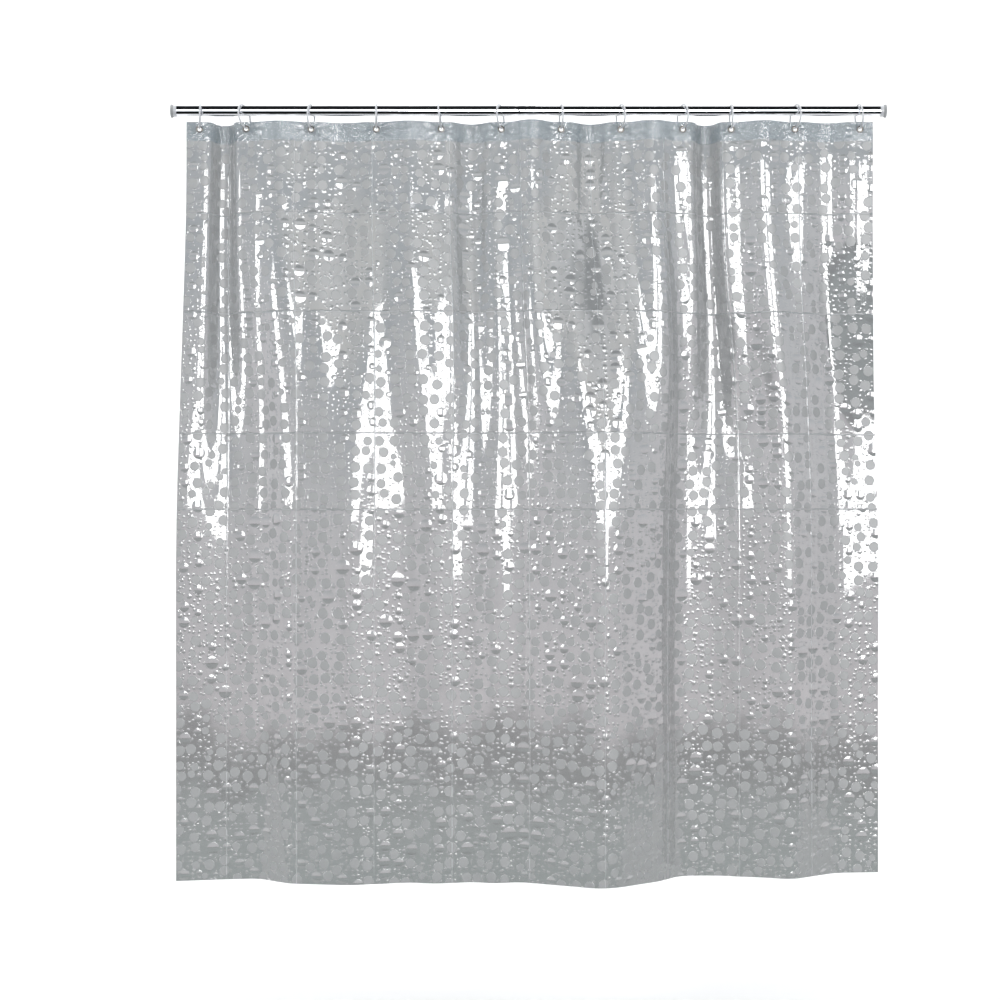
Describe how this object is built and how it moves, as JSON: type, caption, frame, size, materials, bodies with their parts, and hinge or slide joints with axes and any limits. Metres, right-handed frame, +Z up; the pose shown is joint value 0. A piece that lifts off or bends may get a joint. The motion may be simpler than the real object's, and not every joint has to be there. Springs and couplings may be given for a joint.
{
  "type": "shower curtain with rings and tension rod",
  "caption": "Clear embossed film shower curtain with a plain header, hung by eyelets from round plastic rings on a chromed telescopic tension rod.",
  "frame": {"origin": "centre of the left wall pad face, on the rod axis", "axes": "+X along the rod from the left wall to the right wall, +Y away from the viewer, +Z up; the curtain hangs towards -Z"},
  "size_m": [1.6975, 0.1715, 1.8425],
  "materials": {
    "curtain_sheet": "clear embossed film, glossy",
    "eyelet_01": "nickel plated, bright",
    "eyelet_02": "nickel plated, bright",
    "eyelet_03": "nickel plated, bright",
    "eyelet_04": "nickel plated, bright",
    "eyelet_05": "nickel plated, bright",
    "eyelet_06": "nickel plated, bright",
    "eyelet_07": "nickel plated, bright",
    "eyelet_08": "nickel plated, bright",
    "eyelet_09": "nickel plated, bright",
    "eyelet_10": "nickel plated, bright",
    "eyelet_11": "nickel plated, bright",
    "eyelet_12": "nickel plated, bright",
    "eyelet_washer_01": "nickel plated, bright",
    "eyelet_washer_02": "nickel plated, bright",
    "eyelet_washer_03": "nickel plated, bright",
    "eyelet_washer_04": "nickel plated, bright",
    "eyelet_washer_05": "nickel plated, bright",
    "eyelet_washer_06": "nickel plated, bright",
    "eyelet_washer_07": "nickel plated, bright",
    "eyelet_washer_08": "nickel plated, bright",
    "eyelet_washer_09": "nickel plated, bright",
    "eyelet_washer_10": "nickel plated, bright",
    "eyelet_washer_11": "nickel plated, bright",
    "eyelet_washer_12": "nickel plated, bright",
    "header_band": "plain clear film, glossy",
    "inner_tube": "polished chrome plate",
    "inner_tube_stop": "white moulded plastic",
    "left_end_cap": "white moulded plastic",
    "left_end_pad": "matt moulded rubber",
    "outer_tube": "polished chrome plate",
    "pressure_spring": "bare spring wire",
    "right_end_cap": "white moulded plastic",
    "right_end_pad": "matt moulded rubber",
    "ring_01": "white moulded plastic",
    "ring_02": "white moulded plastic",
    "ring_03": "white moulded plastic",
    "ring_04": "white moulded plastic",
    "ring_05": "white moulded plastic",
    "ring_06": "white moulded plastic",
    "ring_07": "white moulded plastic",
    "ring_08": "white moulded plastic",
    "ring_09": "white moulded plastic",
    "ring_10": "white moulded plastic",
    "ring_11": "white moulded plastic",
    "ring_12": "white moulded plastic",
    "spring_seat": "white moulded plastic",
    "tube_bush": "polished chrome plate"
  },
  "bodies": {
    "rod": {"outer_tube": "outer_tube", "tube_bush": "tube_bush", "left_end_cap": "left_end_cap", "left_end_pad": "left_end_pad", "spring_seat": "spring_seat", "pressure_spring": "pressure_spring"},
    "rod_extension": {"inner_tube": "inner_tube", "inner_tube_stop": "inner_tube_stop", "right_end_cap": "right_end_cap", "right_end_pad": "right_end_pad"},
    "curtain": {"curtain_sheet": "curtain_sheet", "header_band": "header_band", "eyelet_01": "eyelet_01", "eyelet_washer_01": "eyelet_washer_01"},
    "runner_02": {"eyelet_02": "eyelet_02", "eyelet_washer_02": "eyelet_washer_02"},
    "runner_03": {"eyelet_03": "eyelet_03", "eyelet_washer_03": "eyelet_washer_03"},
    "runner_04": {"eyelet_04": "eyelet_04", "eyelet_washer_04": "eyelet_washer_04"},
    "runner_05": {"eyelet_05": "eyelet_05", "eyelet_washer_05": "eyelet_washer_05"},
    "runner_06": {"eyelet_06": "eyelet_06", "eyelet_washer_06": "eyelet_washer_06"},
    "runner_07": {"eyelet_07": "eyelet_07", "eyelet_washer_07": "eyelet_washer_07"},
    "runner_08": {"eyelet_08": "eyelet_08", "eyelet_washer_08": "eyelet_washer_08"},
    "runner_09": {"eyelet_09": "eyelet_09", "eyelet_washer_09": "eyelet_washer_09"},
    "runner_10": {"eyelet_10": "eyelet_10", "eyelet_washer_10": "eyelet_washer_10"},
    "runner_11": {"eyelet_11": "eyelet_11", "eyelet_washer_11": "eyelet_washer_11"},
    "runner_12": {"eyelet_12": "eyelet_12", "eyelet_washer_12": "eyelet_washer_12"},
    "hanger_01": {"ring_01": "ring_01"},
    "hanger_02": {"ring_02": "ring_02"},
    "hanger_03": {"ring_03": "ring_03"},
    "hanger_04": {"ring_04": "ring_04"},
    "hanger_05": {"ring_05": "ring_05"},
    "hanger_06": {"ring_06": "ring_06"},
    "hanger_07": {"ring_07": "ring_07"},
    "hanger_08": {"ring_08": "ring_08"},
    "hanger_09": {"ring_09": "ring_09"},
    "hanger_10": {"ring_10": "ring_10"},
    "hanger_11": {"ring_11": "ring_11"},
    "hanger_12": {"ring_12": "ring_12"}
  },
  "joints": [
    {"name": "rod_squeeze", "type": "slide", "parent": "rod", "child": "rod_extension", "axis": [1, 0, 0], "range_m": [-0.03, 0], "stiffness_N_per_m": 400, "deforming": ["pressure_spring"]},
    {"name": "curtain_swing", "type": "hinge", "parent": "rod", "child": "curtain", "pos_m": [0.0673, 0, 0], "axis": [1, 0, 0], "range_deg": [-20, 20]},
    {"name": "curtain_draw", "type": "slide", "parent": "curtain", "child": "runner_12", "axis": [1, 0, 0], "range_m": [-1.14256, 0], "deforming": ["curtain_sheet", "header_band"]},
    {"name": "eyelet_02_travel", "type": "slide", "parent": "curtain", "child": "runner_02", "axis": [1, 0, 0], "range_m": [-0.08076, 0.00002]},
    {"name": "eyelet_03_travel", "type": "slide", "parent": "curtain", "child": "runner_03", "axis": [1, 0, 0], "range_m": [-0.19298, 0.00002]},
    {"name": "eyelet_04_travel", "type": "slide", "parent": "curtain", "child": "runner_04", "axis": [1, 0, 0], "range_m": [-0.30602, 0.00002]},
    {"name": "eyelet_05_travel", "type": "slide", "parent": "curtain", "child": "runner_05", "axis": [1, 0, 0], "range_m": [-0.41824, 0.00002]},
    {"name": "eyelet_06_travel", "type": "slide", "parent": "curtain", "child": "runner_06", "axis": [1, 0, 0], "range_m": [-0.52205, 0.00002]},
    {"name": "eyelet_07_travel", "type": "slide", "parent": "curtain", "child": "runner_07", "axis": [1, 0, 0], "range_m": [-0.62586, 0.00002]},
    {"name": "eyelet_08_travel", "type": "slide", "parent": "curtain", "child": "runner_08", "axis": [1, 0, 0], "range_m": [-0.72885, 0.00002]},
    {"name": "eyelet_09_travel", "type": "slide", "parent": "curtain", "child": "runner_09", "axis": [1, 0, 0], "range_m": [-0.83612, 0.00002]},
    {"name": "eyelet_10_travel", "type": "slide", "parent": "curtain", "child": "runner_10", "axis": [1, 0, 0], "range_m": [-0.91997, 0.00002]},
    {"name": "eyelet_11_travel", "type": "slide", "parent": "curtain", "child": "runner_11", "axis": [1, 0, 0], "range_m": [-1.03024, 0.00002]},
    {"name": "ring_01_swivel", "type": "hinge", "parent": "curtain", "child": "hanger_01", "pos_m": [0.0673, 0, -0.0409], "axis": [0.0349, 0, 0.9994], "range_deg": [-34, 16]},
    {"name": "ring_02_swivel", "type": "hinge", "parent": "runner_02", "child": "hanger_02", "pos_m": [0.1779, 0, -0.04009], "axis": [-0.1564, 0, 0.9877], "range_deg": [-5, 45]},
    {"name": "ring_03_swivel", "type": "hinge", "parent": "runner_03", "child": "hanger_03", "pos_m": [0.33163, 0, -0.04099], "axis": [0, 0, 1], "range_deg": [-14, 36]},
    {"name": "ring_04_swivel", "type": "hinge", "parent": "runner_04", "child": "hanger_04", "pos_m": [0.48647, 0, -0.04099], "axis": [0, 0, 1], "range_deg": [-27, 23]},
    {"name": "ring_05_swivel", "type": "hinge", "parent": "runner_05", "child": "hanger_05", "pos_m": [0.64021, 0, -0.04041], "axis": [-0.1219, 0, 0.9925], "range_deg": [-23, 27]},
    {"name": "ring_06_swivel", "type": "hinge", "parent": "runner_06", "child": "hanger_06", "pos_m": [0.78241, 0, -0.04076], "axis": [-0.0698, 0, 0.9976], "range_deg": [-8, 42]},
    {"name": "ring_07_swivel", "type": "hinge", "parent": "runner_07", "child": "hanger_07", "pos_m": [0.92461, 0, -0.04099], "axis": [0, 0, 1], "range_deg": [-32, 18]},
    {"name": "ring_08_swivel", "type": "hinge", "parent": "runner_08", "child": "hanger_08", "pos_m": [1.0657, 0, -0.04099], "axis": [0, 0, 1], "range_deg": [-43, 7]},
    {"name": "ring_09_swivel", "type": "hinge", "parent": "runner_09", "child": "hanger_09", "pos_m": [1.21264, 0, -0.04099], "axis": [0, 0, 1], "range_deg": [-46, 4]},
    {"name": "ring_10_swivel", "type": "hinge", "parent": "runner_10", "child": "hanger_10", "pos_m": [1.32751, 0, -0.04099], "axis": [0, 0, 1], "range_deg": [-25, 25]},
    {"name": "ring_11_swivel", "type": "hinge", "parent": "runner_11", "child": "hanger_11", "pos_m": [1.47856, 0, -0.04084], "axis": [0.0523, 0, 0.9986], "range_deg": [-42, 8]},
    {"name": "ring_12_swivel", "type": "hinge", "parent": "runner_12", "child": "hanger_12", "pos_m": [1.63245, 0, -0.04076], "axis": [-0.0698, 0, 0.9976], "range_deg": [-32, 18]}
  ],
  "couplings": [
    {"joint": "eyelet_02_travel", "follows": "curtain_draw", "ratio": 0.070664},
    {"joint": "eyelet_03_travel", "follows": "curtain_draw", "ratio": 0.16889},
    {"joint": "eyelet_04_travel", "follows": "curtain_draw", "ratio": 0.26782},
    {"joint": "eyelet_05_travel", "follows": "curtain_draw", "ratio": 0.36604},
    {"joint": "eyelet_06_travel", "follows": "curtain_draw", "ratio": 0.45689},
    {"joint": "eyelet_07_travel", "follows": "curtain_draw", "ratio": 0.54775},
    {"joint": "eyelet_08_travel", "follows": "curtain_draw", "ratio": 0.6379},
    {"joint": "eyelet_09_travel", "follows": "curtain_draw", "ratio": 0.73178},
    {"joint": "eyelet_10_travel", "follows": "curtain_draw", "ratio": 0.80517},
    {"joint": "eyelet_11_travel", "follows": "curtain_draw", "ratio": 0.90168}
  ]
}
